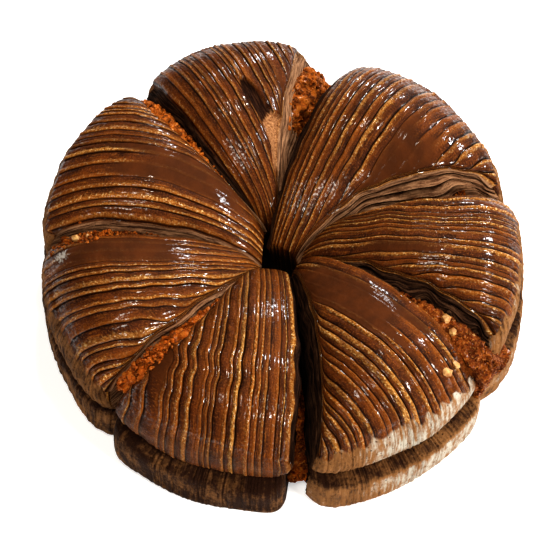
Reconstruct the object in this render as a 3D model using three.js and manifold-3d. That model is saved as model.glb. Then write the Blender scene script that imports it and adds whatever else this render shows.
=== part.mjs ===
// A round laminated brioche: seven striped lobes fan out from a pinched centre, each split at the
// rim by a slit into an upper and a lower layer, with a crumbly filling that runs between them.
// Millimetres, +Z up. The loaf stands on the floor at Z = 0 with its axis on Z.
import * as THREE from "three";
import { mergeVertices } from "three/addons/utils/BufferGeometryUtils.js";
import Module from "manifold-3d";

const wasm = await Module();
wasm.setup();
const { Manifold, Mesh } = wasm;

// Driving sizes of the loaf
const RIM_RADIUS = 93;
const CROWN_HEIGHT = 60;
const TIP_HEIGHT = 36;
const SLIT_HEIGHT = 23;
const UPPER_CORNER = 3;
const LOWER_CORNER = 8;
const SHOULDER_ROUND = 3;
const TIP_LEAN = 6;
const BELOW_FLOOR = 2;

// Stripes of the laminated skin, and the layers that show on the sides of the lobes
const STRIPES = 12;
const RIDGE_HEIGHT = 0.5;
const LAYERS = 3;
const LAYER_DEPTH = 0.5;

// The hollow that the filling lies in, and the filling's distance from the dough
const HOLLOW_INNER_RADIUS = 32;
const HOLLOW_OUTER_RADIUS = 84;
const HOLLOW_HALF_HEIGHT = 7;
const SLIT_INNER_RADIUS = 88;
const SLIT_HALF_HEIGHT = 1.2;
const SLIT_MOUTH_RADIUS = 99;
const SLIT_MOUTH_HALF_HEIGHT = 4;
const CLEARANCE = 0.35;
const RING_SEGMENTS = 42;
const SLIVER = 0.02;

// The hub that joins all the lobes below the pit in the middle
const HUB_RADIUS = 30;
const HUB_HEIGHT = 26;

// Crumbs of the filling
const CRUMB_FOOT = 2;
const CRUMB_SIDE_REACH = 5;
const CRUMB_BUMP = 1.2;
const CRUMB_START = 0.3;
const CRUMB_SLIVER = 0.08;

// Lobes in anticlockwise order. tip: the two ends of the lobe's point; rim: the bearings in degrees
// of its two corners at the wall; bow: how far each side bends sideways; flare: how much further out
// each side stands at the floor; shoulder: height where the skin turns into the wall; arch: how much
// lower the skin is at the sides; foot: how far the lower layer stands out below the slit; crumb:
// height of the filling in the gap that follows the lobe, and how far out it reaches.
const LOBES = [
  {
    name: "right",
    tip: [[7.5, -2], [13.5, 11.5]],
    rim: [-22.5, 15],
    bow: [1.5, -1.5],
    flare: [3, 3],
    shoulder: 47,
    arch: 11,
    foot: 3,
    crumb: { height: 36, reach: 90 },
  },
  {
    name: "back_right",
    tip: [[6.5, 3], [-4, 5.5]],
    rim: [19.5, 71],
    bow: [7, 3.5],
    flare: [3, 3],
    shoulder: 47,
    arch: 8,
    foot: 2,
    crumb: { height: 40, reach: 89 },
  },
  {
    name: "back_left",
    tip: [[-1, 13], [-8, 15]],
    rim: [83.5, 126.5],
    bow: [3, 1.5],
    flare: [3, 3],
    shoulder: 52,
    arch: 7,
    foot: 2,
    crumb: { height: 37, reach: 87 },
  },
  {
    name: "left",
    tip: [[-6.5, 11.5], [-7.5, -3]],
    rim: [127, 178.5],
    bow: [1.5, -4],
    flare: [3, 3],
    shoulder: 51,
    arch: 8,
    foot: 2,
    crumb: { height: 37, reach: 89 },
  },
  {
    name: "front_left",
    tip: [[-14, 1], [-7, -6.5]],
    rim: [176, 222.5],
    bow: [3.5, 2],
    flare: [3, 2],
    shoulder: 44,
    arch: 11,
    foot: 1,
    crumb: { height: 40, reach: 89 },
  },
  {
    name: "front",
    tip: [[-15.5, -9.5], [2.5, -10.5]],
    rim: [229, 273],
    bow: [7.5, 2.5],
    flare: [2, 2],
    shoulder: 44,
    arch: 11,
    foot: 4,
    crumb: { height: 27, reach: 80 },
  },
  {
    name: "front_right",
    tip: [[4, -9], [11, -2.5]],
    rim: [279, 319.5],
    bow: [7.5, 2.5],
    flare: [8, 2],
    shoulder: 44,
    arch: 11,
    foot: 4,
    crumb: { height: 38, reach: 94 },
  },
];

// Pieces of nut on the crumbs: the gap after a lobe, the place along and across it, and the size.
const NUTS = [
  { after: "front_right", along: 0.66, across: 0.2, size: 2.6 },
  { after: "front_right", along: 0.8, across: -0.3, size: 2.2 },
  { after: "front_right", along: 0.5, across: 0.3, size: 1.8 },
  { after: "back_right", along: 0.7, across: 0.1, size: 2.2 },
  { after: "back_right", along: 0.5, across: -0.2, size: 1.8 },
  { after: "front_left", along: 0.78, across: 0, size: 1.8 },
];

const doughMaterial = new THREE.MeshStandardMaterial({ color: 0x5a2c12, roughness: 0.35 });
const fillingMaterial = new THREE.MeshStandardMaterial({ color: 0x9a4413, roughness: 0.9 });

const mix = THREE.MathUtils.lerp;
const smoothstep = THREE.MathUtils.smoothstep;

// A repeatable uneven value from -1 to 1.
function uneven(a, b, c) {
  const wave = Math.sin(a * 12.99 + b * 78.23 + c * 37.72) * 4375.85;
  return 2 * (wave - Math.floor(wave)) - 1;
}

// Outward direction of a bearing.
function outward(bearing) {
  const angle = THREE.MathUtils.degToRad(bearing);
  return new THREE.Vector2(Math.cos(angle), Math.sin(angle));
}

// Plan of a lobe: along runs 0 to 1 from the tip to the rim, across -1 to 1 from side to side.
function lobePlan(lobe, along, across) {
  const share = (across + 1) / 2;
  const tip = new THREE.Vector2(...lobe.tip[0]).lerp(new THREE.Vector2(...lobe.tip[1]), share);
  const out = outward(mix(lobe.rim[0], lobe.rim[1], share));
  const sideways = new THREE.Vector2(-out.y, out.x);
  const rim = out.clone().multiplyScalar(RIM_RADIUS - SHOULDER_ROUND);
  const bow = 2 * mix(lobe.bow[0], lobe.bow[1], share);
  const middle = tip.clone().lerp(rim, 0.5).addScaledVector(sideways, bow);
  return { point: new THREE.QuadraticBezierCurve(tip, middle, rim).getPoint(along), out, sideways };
}

// Height of the skin along the middle of a lobe: low at the tip, full over most of its length, and
// rolled down at the shoulder.
function crownHeight(lobe, along) {
  const atShoulder = (CROWN_HEIGHT - lobe.shoulder) * along ** 8;
  const atTip = (CROWN_HEIGHT - TIP_HEIGHT) * (1 - along) ** 3;
  return CROWN_HEIGHT - atShoulder - atTip;
}

// Height of the skin across a lobe, which arches down to its sides.
function skinHeight(lobe, along, across) {
  const from = lobePlan(lobe, along, -1).point;
  const width = from.distanceTo(lobePlan(lobe, along, 1).point);
  const drop = THREE.MathUtils.clamp(0.2 * width, 3, lobe.arch);
  const arch = (1 - Math.abs(across) ** 2.4) ** 0.6;
  return crownHeight(lobe, along) - drop * (1 - arch);
}

// How far the wall stands out from the shoulder at a height. The corners of both layers are rounded.
function wallReach(lobe, across, height, shoulder) {
  const rounded = Math.min(1, (shoulder - height) / 9);
  const belowShoulder = SHOULDER_ROUND * Math.sqrt(1 - (1 - rounded) ** 2);
  const belowSlit = smoothstep(SLIT_HEIGHT - height, -1, 3);
  const corner = mix(UPPER_CORNER, LOWER_CORNER, belowSlit) * across ** 14;
  const atFloor = 2 * smoothstep(5 - height, 0, 6);
  return belowShoulder + lobe.foot * belowSlit - corner - atFloor;
}

// A point of a lobe: along and across as in its plan, up 0 at the floor to 1 at the skin.
function lobePoint(lobe, along, across, up) {
  const { point, out, sideways } = lobePlan(lobe, along, across);
  const skin = skinHeight(lobe, along, across);
  const height = mix(-BELOW_FLOOR, skin, up);
  const ridge = RIDGE_HEIGHT * Math.cos(Math.PI * STRIPES * (across + 1)) * smoothstep(along, 0, 0.15);
  const onSkin = up === 1 ? ridge * (1 - Math.abs(across) ** 8) : 0;
  const onWall = along === 1 ? wallReach(lobe, across, height, skin) + ridge * (1 - Math.abs(across) ** 8) : 0;
  const flare = across < 0 ? lobe.flare[0] : lobe.flare[1];
  const layer = Math.abs(across) === 1 && up < 1 ? LAYER_DEPTH * Math.cos(2 * Math.PI * LAYERS * up) : 0;
  const spread = Math.sign(across) * (flare * across ** 6 * (1 - up) + layer);
  const lean = TIP_LEAN * (1 - along) ** 8 * (1 - up);
  point.addScaledVector(out, onWall - lean).addScaledVector(sideways, spread);
  return new THREE.Vector3(point.x, point.y, height + onSkin);
}

// A box whose vertices are moved by a function of its three coordinates, each from -1 to 1.
function shapedBox(alongSteps, acrossSteps, upSteps, place) {
  const box = new THREE.BoxGeometry(2, 2, 2, alongSteps, acrossSteps, upSteps);
  const positions = box.attributes.position;
  for (let i = 0; i < positions.count; i += 1) {
    const moved = place(positions.getX(i), positions.getY(i), positions.getZ(i));
    positions.setXYZ(i, moved.x, moved.y, moved.z);
  }
  return welded(box);
}

// A geometry with its seams closed.
function welded(geometry) {
  geometry.deleteAttribute("normal");
  geometry.deleteAttribute("uv");
  return mergeVertices(geometry, 1e-3);
}

// Steps along a lobe lie closer together at the tip and at the shoulder.
function lobeGeometry(lobe) {
  return shapedBox(10, 2 * STRIPES, 2 * LAYERS, (x, y, z) => {
    const along = (1 - Math.cos((Math.PI * (x + 1)) / 2)) / 2;
    return lobePoint(lobe, along, y, (z + 1) / 2);
  });
}

// A geometry grown along its normals.
function grown(geometry, distance) {
  const larger = geometry.clone();
  larger.computeVertexNormals();
  const { position, normal } = larger.attributes;
  for (let i = 0; i < position.count; i += 1) {
    const shift = new THREE.Vector3().fromBufferAttribute(normal, i).multiplyScalar(distance);
    position.setXYZ(i, position.getX(i) + shift.x, position.getY(i) + shift.y, position.getZ(i) + shift.z);
  }
  larger.deleteAttribute("normal");
  return larger;
}

// The ring-shaped hollow, narrowed to the slit at the rim, or the filling that lies in it.
function ringGeometry(gap, outerRadius, outerHalfHeight) {
  const half = HOLLOW_HALF_HEIGHT - gap;
  const slitHalf = SLIT_HALF_HEIGHT - gap;
  const inner = HOLLOW_INNER_RADIUS + gap;
  const outer = HOLLOW_OUTER_RADIUS - gap;
  const lowerSide = [
    [inner, -half],
    [outer, -half],
    [SLIT_INNER_RADIUS - gap, -slitHalf],
    [outerRadius, -outerHalfHeight],
  ];
  const upperSide = lowerSide.map(([radius, height]) => [radius, -height]).reverse();
  const outline = [...lowerSide, ...upperSide, lowerSide[0]];
  const profile = outline.map(([radius, height]) => new THREE.Vector2(radius, height));
  const ring = new THREE.LatheGeometry(profile, RING_SEGMENTS);
  ring.rotateX(Math.PI / 2);
  ring.translate(0, 0, SLIT_HEIGHT);
  return welded(ring);
}

// Plan of the gap between a lobe and the next one, reaching a little way into both.
function gapPlan(lobe, next, along, across) {
  const from = lobePlan(lobe, along, 1);
  const to = lobePlan(next, along, -1);
  const middle = from.point.clone().lerp(to.point, 0.5);
  const halfWidth = from.point.distanceTo(to.point) / 2 + CRUMB_SIDE_REACH;
  const out = from.out.clone().add(to.out).normalize();
  const sideways = new THREE.Vector2(-out.y, out.x);
  const further = (lobe.crumb.reach - RIM_RADIUS + SHOULDER_ROUND) * along ** 4;
  return middle.addScaledVector(sideways, halfWidth * across).addScaledVector(out, further);
}

// Height of the crumbs in a gap: highest towards the rim.
function crumbHeight(lobe, along) {
  return lobe.crumb.height - 6 * (1 - along) - 5 * along ** 12;
}

// Crumbs that fill a gap, with an uneven skin.
function crumbGeometry(lobe, next) {
  const seed = lobe.rim[0];
  return shapedBox(10, 4, 3, (x, y, z) => {
    const along = mix(CRUMB_START, 1, (x + 1) / 2);
    const point = gapPlan(lobe, next, along, y);
    const height = mix(CRUMB_FOOT, crumbHeight(lobe, along), (z + 1) / 2);
    const bump = CRUMB_BUMP * uneven(x * 8 + seed, y * 3, z * 2.5);
    const out = point.clone().normalize();
    const atRim = x === 1 ? bump : 0;
    const onTop = z === 1 ? bump : 0;
    return new THREE.Vector3(point.x + out.x * atRim, point.y + out.y * atRim, height + onTop);
  });
}

// A chip of nut half sunk into the crumbs.
function nutGeometry(nut) {
  const index = LOBES.findIndex((lobe) => lobe.name === nut.after);
  const lobe = LOBES[index];
  const point = gapPlan(lobe, LOBES[(index + 1) % LOBES.length], nut.along, nut.across);
  const chip = new THREE.IcosahedronGeometry(nut.size, 0);
  chip.rotateX(nut.along * 7);
  chip.scale(1.2, 0.9, 0.8);
  chip.rotateZ(nut.across * 9);
  chip.translate(point.x, point.y, crumbHeight(lobe, nut.along) + 0.2 * nut.size);
  return welded(chip);
}

function hubGeometry(gap) {
  const hub = new THREE.CylinderGeometry(HUB_RADIUS + gap, HUB_RADIUS + gap, HUB_HEIGHT + BELOW_FLOOR, 40);
  hub.rotateX(Math.PI / 2);
  hub.translate(0, 0, (HUB_HEIGHT - BELOW_FLOOR) / 2 + gap);
  return welded(hub);
}

function floorGeometry() {
  const floor = new THREE.BoxGeometry(300, 300, 20);
  floor.translate(0, 0, -10);
  return welded(floor);
}

function solidOf(geometry) {
  const vertProperties = new Float32Array(geometry.attributes.position.array);
  const triVerts = new Uint32Array(geometry.index.array);
  return new Manifold(new Mesh({ numProp: 3, vertProperties, triVerts }));
}

// The main body of a solid, without slivers and loose scraps.
function largestBody(solid, sliver) {
  const bodies = solid.simplify(sliver).decompose();
  return bodies.sort((a, b) => b.volume() - a.volume())[0];
}

function meshOf(name, solid, material) {
  const { vertProperties, triVerts } = solid.getMesh();
  const geometry = new THREE.BufferGeometry();
  geometry.setAttribute("position", new THREE.BufferAttribute(vertProperties, 3));
  geometry.setIndex(new THREE.BufferAttribute(triVerts, 1));
  geometry.computeVertexNormals();
  const mesh = new THREE.Mesh(geometry, material);
  mesh.name = name;
  return mesh;
}

// The dough is one solid: upper and lower layers meet at the hub, inside the ring of filling.
function makeDough(lobes) {
  const body = Manifold.union([...lobes.map(solidOf), solidOf(hubGeometry(0))]);
  const hollow = solidOf(ringGeometry(0, SLIT_MOUTH_RADIUS, SLIT_MOUTH_HALF_HEIGHT));
  return largestBody(body.subtract(hollow).subtract(solidOf(floorGeometry())), SLIVER);
}

// The filling is one solid too: the ring in the hollow and the crumbs that rise in the gaps.
function makeFilling(lobes, dough) {
  const ring = solidOf(ringGeometry(CLEARANCE, SLIT_INNER_RADIUS, SLIT_HALF_HEIGHT - CLEARANCE));
  const crumbs = LOBES.map((lobe, i) => solidOf(crumbGeometry(lobe, LOBES[(i + 1) % LOBES.length])));
  const nuts = NUTS.map((nut) => solidOf(nutGeometry(nut)));
  const grownLobes = lobes.map((geometry) => solidOf(grown(geometry, CLEARANCE)));
  const keptClear = Manifold.union([...grownLobes, solidOf(hubGeometry(CLEARANCE))]);
  const loose = Manifold.union([...crumbs, ...nuts]).subtract(keptClear);
  return largestBody(Manifold.union([ring, loose]).subtract(dough), CRUMB_SLIVER);
}

const lobeGeometries = LOBES.map(lobeGeometry);
const brioche = new THREE.Group();
brioche.name = "laminated_brioche";
const dough = makeDough(lobeGeometries);
brioche.add(meshOf("dough", dough, doughMaterial));
brioche.add(meshOf("filling", makeFilling(lobeGeometries, dough), fillingMaterial));

export default brioche;
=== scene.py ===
# Laminated chocolate brioche: seven striped lobes round a pit, crumb filling in the gaps between them.
import math
from types import SimpleNamespace

import bpy
import numpy as np
from mathutils import Matrix, Vector


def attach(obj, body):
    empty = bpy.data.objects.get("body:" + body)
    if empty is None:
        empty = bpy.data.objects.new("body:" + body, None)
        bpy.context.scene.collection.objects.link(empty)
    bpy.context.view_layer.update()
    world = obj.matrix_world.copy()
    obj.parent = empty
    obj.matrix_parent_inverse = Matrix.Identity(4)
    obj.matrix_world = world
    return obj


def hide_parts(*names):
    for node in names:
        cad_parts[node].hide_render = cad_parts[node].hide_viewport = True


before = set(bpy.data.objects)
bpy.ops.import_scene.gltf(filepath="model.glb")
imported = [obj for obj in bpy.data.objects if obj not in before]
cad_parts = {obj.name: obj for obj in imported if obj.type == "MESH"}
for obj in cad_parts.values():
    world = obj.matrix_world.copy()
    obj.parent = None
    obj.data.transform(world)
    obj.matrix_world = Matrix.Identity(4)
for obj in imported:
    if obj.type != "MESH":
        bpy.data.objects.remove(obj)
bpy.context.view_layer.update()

MM = 0.001
SEED = 7

# Edges sharper than this are shaded sharp, in degrees: in general, and on the bits of nut.
SMOOTH_ANGLE = 70.0
NUT_ANGLE = 20.0

# Sizes of the lobes, in millimetres. NOSE_LENGTH is a share of a lobe's length, ARCH_SHARE of its width.
RIM_RADIUS = 93.0
CROWN_HEIGHT = 60.0
TIP_HEIGHT = 36.0
TIP_LEAN = -3.0
NOSE_DROP = 3.0
NOSE_LENGTH = 0.08
ARCH_SHARE = 0.2
LEAST_ARCH = 3.0
SHOULDER_ROUND = 3.0
SHOULDER_DEPTH = 9.0
UPPER_CORNER = 3.0
LOWER_CORNER = 8.0
FLOOR_ROUND = 2.0

# The slit that runs round the wall, with a softer lip above and below it.
SLIT_HEIGHT = 23.0
SLIT_WAVER = 0.9
SLIT_DEPTH = 6.0
SLIT_HALF_WIDTH = 1.2
LIP_DEPTH = 1.6
LIP_HALF_WIDTH = 3.5

# Unevenness of the dough: waves in the skin and the wall, rolled and ragged edges, a torn strip.
SKIN_WAVE = 0.7
SKIN_WAVE_LENGTH = 9.0
WALL_WAVE = 0.5
WALL_RIDGE = 0.16
EDGE_ROLL = 0.9
EDGE_ROLL_DEPTH = 9.0
EDGE_RAG = 0.35
TEAR_DEPTH = 1.8

# Stripes of the skin: places across a stripe, first its band and then its line, and their relief.
STRIPES = 17
STRIPE_PLACES = (0.0, 0.06, 0.18, 0.32, 0.44, 0.5, 0.58, 0.7, 0.83, 0.94)
STRIPE_RELIEF = (-0.45, -0.08, 0.06, 0.1, 0.04, -0.06, 0.2, 0.4, 0.36, 0.0)
LINE_COLUMNS = (5, 6, 7, 8)
BAND_END = 0.47
FULL_WIDTH = 3.4
GRAIN_RELIEF = 0.08
ROUGH_RELIEF = 0.05

# Stripes that run out towards a lobe's tip keep the share SQUEEZED, over a zone of twice RUN_OUT.
SQUEEZED = 0.02
RUN_OUT = 0.06

# Layers on the sides of the lobes, and how finely a lobe is modelled.
LAYER_RELIEF = (-0.6, 0.2, 0.45)
LAYER_LUMP = 0.6
STEPS_ALONG = 96
STEPS_ACROSS = STRIPES * len(STRIPE_PLACES)
STEPS_UP = 64
STEPS_BELOW_SLIT = 20

# The stripe map: numbers for each lobe, the skin's length in centimetres, and the groups of faces.
STRIPE_OFFSET = 40
SKIN_LENGTH = 9.0
TOP, WALL, FIRST_SIDE, LAST_SIDE, TIP, BOTTOM = range(6)

# The dough hub below the pit: insets of its top with the rise of each.
HUB_RADIUS = 30.0
HUB_HEIGHT = 20.0
HUB_STEPS = ((4, 1.0), (5, 0.0), (6, -2.0), (6, -4.0), (5, -2.0))
HUB_LUMP = 1.3
HUB_LUMP_LENGTH = 6.0

# The filling in the gaps, its lumps, and the loose grains of each gap.
CRUMB_STEPS = ((90,), (26,), (24,))
CRUMB_START = 0.22
CRUMB_SIDE_REACH = 5.0
CRUMB_FOOT = 4.0
LEAST_CRUMB = 3.5
INNER_DROP = 16.0
OUTER_DROP = 12.5
LUMP_SIZE = 4.0
LUMP_PUSH = -3.6
GRAIN_SIZE = 1.3
GRAIN_PUSH = 1.6
TOP_GRAINS = 520
END_GRAINS = 160
NEARLY_A_TURN = 6.28

# Grains spilled onto the lobes' edges: place in plan, spread and count. None lie lower than this.
SPILLS = (((-78.0, -3.0), (5.0, 2.0), 140), ((64.0, -47.0), (5.0, 4.0), 50))
LOWEST_SPILL = 30.0

# Bits of nut: place in plan and size.
NUT_SPOTS = (
    ((61.3, -38.3), 2.6), ((63.8, -42.9), 1.9), ((72.0, -39.6), 1.2), ((60.7, -59.5), 1.9),
    ((64.6, -55.7), 1.8), ((-78.0, -3.5), 2.2), ((-73.5, -3.0), 1.6),
)

# The camera, and the lights with place, size, power and colour.
CAMERA_LENS = 131.3
CAMERA_DISTANCE = 0.8
CAMERA_LIFT = 59.0
CAMERA_AIM = (-0.0004, -0.0069, 0.025)
LIGHT_AIM = (0.0, 0.0, 0.03)
LIGHTS = (
    ("window", (0.85, 0.45, 0.68), 0.16, 10.0, (0.90, 0.96, 1.0)),
    ("back_window", (0.30, 1.00, 0.45), 0.2, 6.0, (0.90, 0.95, 1.0)),
    ("overhead", (0.10, 0.30, 1.12), 0.10, 3.8, (1.0, 0.93, 0.82)),
    ("front_top", (-0.15, -0.40, 1.02), 0.35, 5.2, (1.0, 0.94, 0.84)),
    ("front_fill", (0.72, -0.62, 0.58), 0.2, 9.0, (1.0, 0.97, 0.92)),
)


def lobe(name, tuck=(1, 1), line=1.0, dust=0.0, torn=0.0, **values):
    """One lobe with its values, as the comment above the list of lobes explains them."""
    return SimpleNamespace(name=name, tuck=tuck, line=line, dust=dust, torn=torn, **values)


# Lobes in anticlockwise order. Most pairs are for the lobe's first and last side.
# tip: ends of the lobe's point; rim: bearings of its corners at the wall; bow: how far the sides bend;
# flare: how far they slope out below the skin; shoulder: height where the skin turns into the wall;
# arch: the most that the skin rolls down at the sides; foot: how far the layer below the slit stands
# out; tuck: how far the corners of that layer draw in; crumb: the filling after the lobe, with its
# height, its reach, how far its foot draws back and how much lower it is at the next lobe, or,
# below 0, at this one.
# plain: first and last stripe, start and end of the patch that the glaze smooths over; taper: widths
# of the stripes; anchor: where across the lobe the stripes run on to the tip; line: strength of the
# golden lines; bare: how bare the wall is above and below the slit; pale: how pale the wall is, partly
# its own baked tone and partly a painted reflection of the light from the right front; sides: how light
# the sides are, partly their own tone and partly painted light and shade by which way they face;
# strands: how ragged they are; dust, torn: 1 for a lobe that has it.
LOBES = [
    lobe(
        "right", tip=((7.5, -2), (13.5, 11.5)), rim=(-24.5, 12.5), bow=(1.5, -3), flare=(16, 3),
        shoulder=47, arch=11, foot=3, crumb=(42, 90, 4, 0),
        plain=(7, 7, 0.3, 0.6), taper=(0.9, 1.1), anchor=0.6, bare=(0.75, 0.8),
        pale=0.55, sides=(0.1, 0.4), strands=(3.0, 1.2),
    ),
    lobe(
        "back_right", tip=((5.5, 0), (-4, 5.5)), rim=(19.5, 69.5), bow=(10, 3.5), flare=(14, 7),
        shoulder=47, arch=8, foot=2, crumb=(48, 88, 4, -16),
        plain=(4, 7, 0.3, 0.78), taper=(1.1, 0.9), anchor=0.85, bare=(0.7, 0.8),
        pale=0.4, sides=(0.9, 0.05), strands=(2.4, 1.2),
    ),
    lobe(
        "back_left", tip=((-1, 13), (-8, 15)), rim=(86, 125), bow=(3, 1.5), flare=(8, 6),
        shoulder=52, arch=7, foot=2, crumb=(54, 87, 4, -14),
        plain=(1, 3, 0.45, 0.8), taper=(1.1, 0.9), anchor=0.85, line=0.55, bare=(0.7, 0.8),
        pale=0.4, sides=(1.0, 0.05), strands=(1.4, 1.2), torn=1.0,
    ),
    lobe(
        "left", tip=((-6.5, 11.5), (-7.5, -3)), rim=(132, 178.5), bow=(1.5, -4), flare=(4, 4),
        shoulder=51, arch=8, foot=2, crumb=(52, 85, 4, -8),
        plain=(10, 12, 0.12, 0.72), taper=(0.9, 1.1), anchor=0.85, line=0.8, bare=(0.7, 0.8),
        pale=0.35, sides=(0.5, 0.7), strands=(1.2, 2.4),
    ),
    lobe(
        "front_left", tip=((-14, 1), (-7, -6.5)), rim=(179.5, 222.5), bow=(3.5, 2), flare=(9, 8),
        shoulder=44, arch=11, foot=1, crumb=(53.3, 86, 14, -8),
        plain=(1, 3, 0.35, 0.95), taper=(1.1, 0.9), anchor=0.15, line=1.4, bare=(0.75, 0.8),
        pale=0.3, sides=(0.4, 0.7), strands=(1.2, 1.8), dust=1.0,
    ),
    lobe(
        "front", tip=((-14, -6), (2.5, -7)), rim=(227, 272), bow=(7.5, 2.5), flare=(3, 0),
        shoulder=44, arch=11, foot=4, tuck=(0, 1), crumb=(12, 85, 8, 0),
        plain=(1, 2, 0.35, 0.9), taper=(1.6, 0.75), anchor=0.9, bare=(0.3, 0.85),
        pale=0.1, sides=(0.3, 0.0), strands=(1.2, 1.0),
    ),
    lobe(
        "front_right", tip=((4.5, -7), (9.5, -1)), rim=(279, 323.5), bow=(4.5, 2.5), flare=(5, 4),
        shoulder=44, arch=11, foot=4, tuck=(1, 0), crumb=(50, 96, 6, 14),
        plain=(12, 15, 0.1, 0.78), taper=(0.9, 1.1), anchor=1.0, bare=(1.0, 1.0),
        pale=1.0, sides=(0.1, 0.3), strands=(1.2, 1.2),
    ),
]
for number, shape in enumerate(LOBES):
    shape.number = number
    shape.seed = SEED + 100 * (number + 1)
    shape.after = LOBES[(number + 1) % len(LOBES)]


def mix(a, b, share):
    """Straight blend of two numbers or arrays."""
    return a + (b - a) * share


def smoothstep(value, start, end):
    """0 before start, 1 after end, smooth between."""
    part = np.clip((value - start) / (end - start), 0.0, 1.0)
    return part * part * (3.0 - 2.0 * part)


def ripple(seed, *coordinates):
    """Smooth seeded waves over the coordinates, mostly between -1 and 1."""
    draw = np.random.default_rng(seed)
    total = 0.0
    for _ in range(7):
        slopes = draw.normal(size=len(coordinates))
        phase = draw.uniform(0.0, 2.0 * math.pi)
        total = total + np.sin(sum(slope * place for slope, place in zip(slopes, coordinates)) + phase)
    return total / 3.0


def lobe_plan(shape, along, share):
    """Plan position of a point of a lobe, and the outward and sideways directions there."""
    near, far = (np.array(corner, dtype=float) for corner in shape.tip)
    tip = near + (far - near) * share[:, None]
    angle = np.radians(mix(*shape.rim, share))
    out = np.stack((np.cos(angle), np.sin(angle)), axis=1)
    sideways = np.stack((-np.sin(angle), np.cos(angle)), axis=1)
    rim = out * (RIM_RADIUS - SHOULDER_ROUND)
    bow = 2.0 * mix(*shape.bow, share)
    middle = (tip + rim) / 2.0 + sideways * bow[:, None]
    t = along[:, None]
    place = tip * (1.0 - t) ** 2 + 2.0 * middle * t * (1.0 - t) + rim * t**2
    return place, out, sideways


def lobe_width(shape, along):
    """Width of a lobe in plan at a place along it."""
    one = np.ones_like(along)
    first = lobe_plan(shape, along, 0.0 * one)[0]
    last = lobe_plan(shape, along, one)[0]
    return np.linalg.norm(last - first, axis=1)


def crown_height(shape, along):
    """Height of the skin along the middle of a lobe."""
    outer_drop = (CROWN_HEIGHT - shape.shoulder) * along**8
    tip_drop = (CROWN_HEIGHT - TIP_HEIGHT) * (1.0 - along) ** 3
    nose = NOSE_DROP * np.clip(1.0 - along / NOSE_LENGTH, 0.0, 1.0) ** 2
    return CROWN_HEIGHT - outer_drop - tip_drop - nose


def skin_height(shape, along, across):
    """Height of the skin, which rolls down towards both sides of a lobe."""
    drop = np.clip(ARCH_SHARE * lobe_width(shape, along), LEAST_ARCH, shape.arch)
    arch = np.clip(1.0 - np.abs(across) ** 2.4, 0.0, 1.0) ** 0.6
    return crown_height(shape, along) - drop * (1.0 - arch)


def only(piece):
    """Makes one object the only selected and active one."""
    bpy.ops.object.select_all(action="DESELECT")
    piece.select_set(True)
    bpy.context.view_layer.objects.active = piece


def vectors(items, name):
    """A property of a mesh's points or faces, three numbers for each, as an array."""
    values = np.empty(len(items) * 3)
    items.foreach_get(name, values)
    return values.reshape(-1, 3)


def whole_numbers(items, name, each=1):
    """A property of a mesh's edges, faces or corners as an array of whole numbers."""
    values = np.empty(len(items) * each, dtype=np.int32)
    items.foreach_get(name, values)
    return values


def places_of(mesh):
    """The places of a mesh's points as an array."""
    return vectors(mesh.vertices, "co")


def put_places(mesh, places):
    """Moves a mesh's points."""
    mesh.vertices.foreach_set("co", np.ascontiguousarray(places).ravel())
    mesh.update()


def face_normals(mesh):
    """The normals of a mesh's faces as an array."""
    return vectors(mesh.polygons, "normal")


def put_attribute(mesh, name, values):
    """Writes one number for each point of a mesh."""
    layer = mesh.attributes.new(name, "FLOAT", "POINT")
    layer.data.foreach_set("value", np.ascontiguousarray(values, dtype=np.float32))


def deselect(*kinds):
    """Deselects all of a mesh's points, edges or faces."""
    for kind in kinds:
        kind.foreach_set("select", np.zeros(len(kind), dtype=bool))


def select_faces(mesh, chosen):
    """Selects only the chosen faces."""
    bpy.context.tool_settings.mesh_select_mode = (False, False, True)
    deselect(mesh.vertices, mesh.edges)
    mesh.polygons.foreach_set("select", chosen)


def select_edges_along(mesh, axis):
    """Selects only the edges that run along one axis."""
    ends = whole_numbers(mesh.edges, "vertices", 2).reshape(-1, 2)
    places = places_of(mesh)[ends]
    run = np.abs(places[:, 0] - places[:, 1])
    bpy.context.tool_settings.mesh_select_mode = (False, True, False)
    deselect(mesh.vertices, mesh.polygons)
    mesh.edges.foreach_set("select", run[:, axis] > 1e-6)


def divide(piece, axis, cuts):
    """Cuts a block evenly across one axis."""
    select_edges_along(piece.data, axis)
    bpy.ops.object.mode_set(mode="EDIT")
    bpy.ops.mesh.subdivide(number_cuts=cuts)
    bpy.ops.object.mode_set(mode="OBJECT")


def block(name, steps):
    """A cube of two units, divided evenly along each axis in turn, whose bottom is one face."""
    bpy.ops.object.select_all(action="DESELECT")
    bpy.ops.mesh.primitive_cube_add(size=2.0)
    piece = bpy.context.object
    piece.name = name
    for axis, parts in enumerate(steps):
        for count in parts:
            divide(piece, axis, count - 1)
    select_faces(piece.data, face_normals(piece.data)[:, 2] < -0.5)
    bpy.ops.object.mode_set(mode="EDIT")
    bpy.ops.mesh.dissolve_faces()
    bpy.ops.object.mode_set(mode="OBJECT")
    return piece


def block_grid(mesh):
    """Shares along, across and up, from 0 to 1, of the points of a block."""
    return (places_of(mesh) + 1.0) / 2.0


def copy_of(piece, name):
    """A copy of an object with its own mesh."""
    twin = piece.copy()
    twin.data = piece.data.copy()
    twin.name = name
    twin.data.name = name
    bpy.context.collection.objects.link(twin)
    return twin


def finish_piece(piece, material, node, smooth_angle=SMOOTH_ANGLE):
    """Gives a piece its material and smooth shading, hangs it on the root body, hides its node's CAD part.
    """
    piece.data.materials.clear()
    piece.data.materials.append(material)
    only(piece)
    bpy.ops.object.shade_smooth_by_angle(angle=math.radians(smooth_angle))
    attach(piece, "root")
    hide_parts(node)


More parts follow.
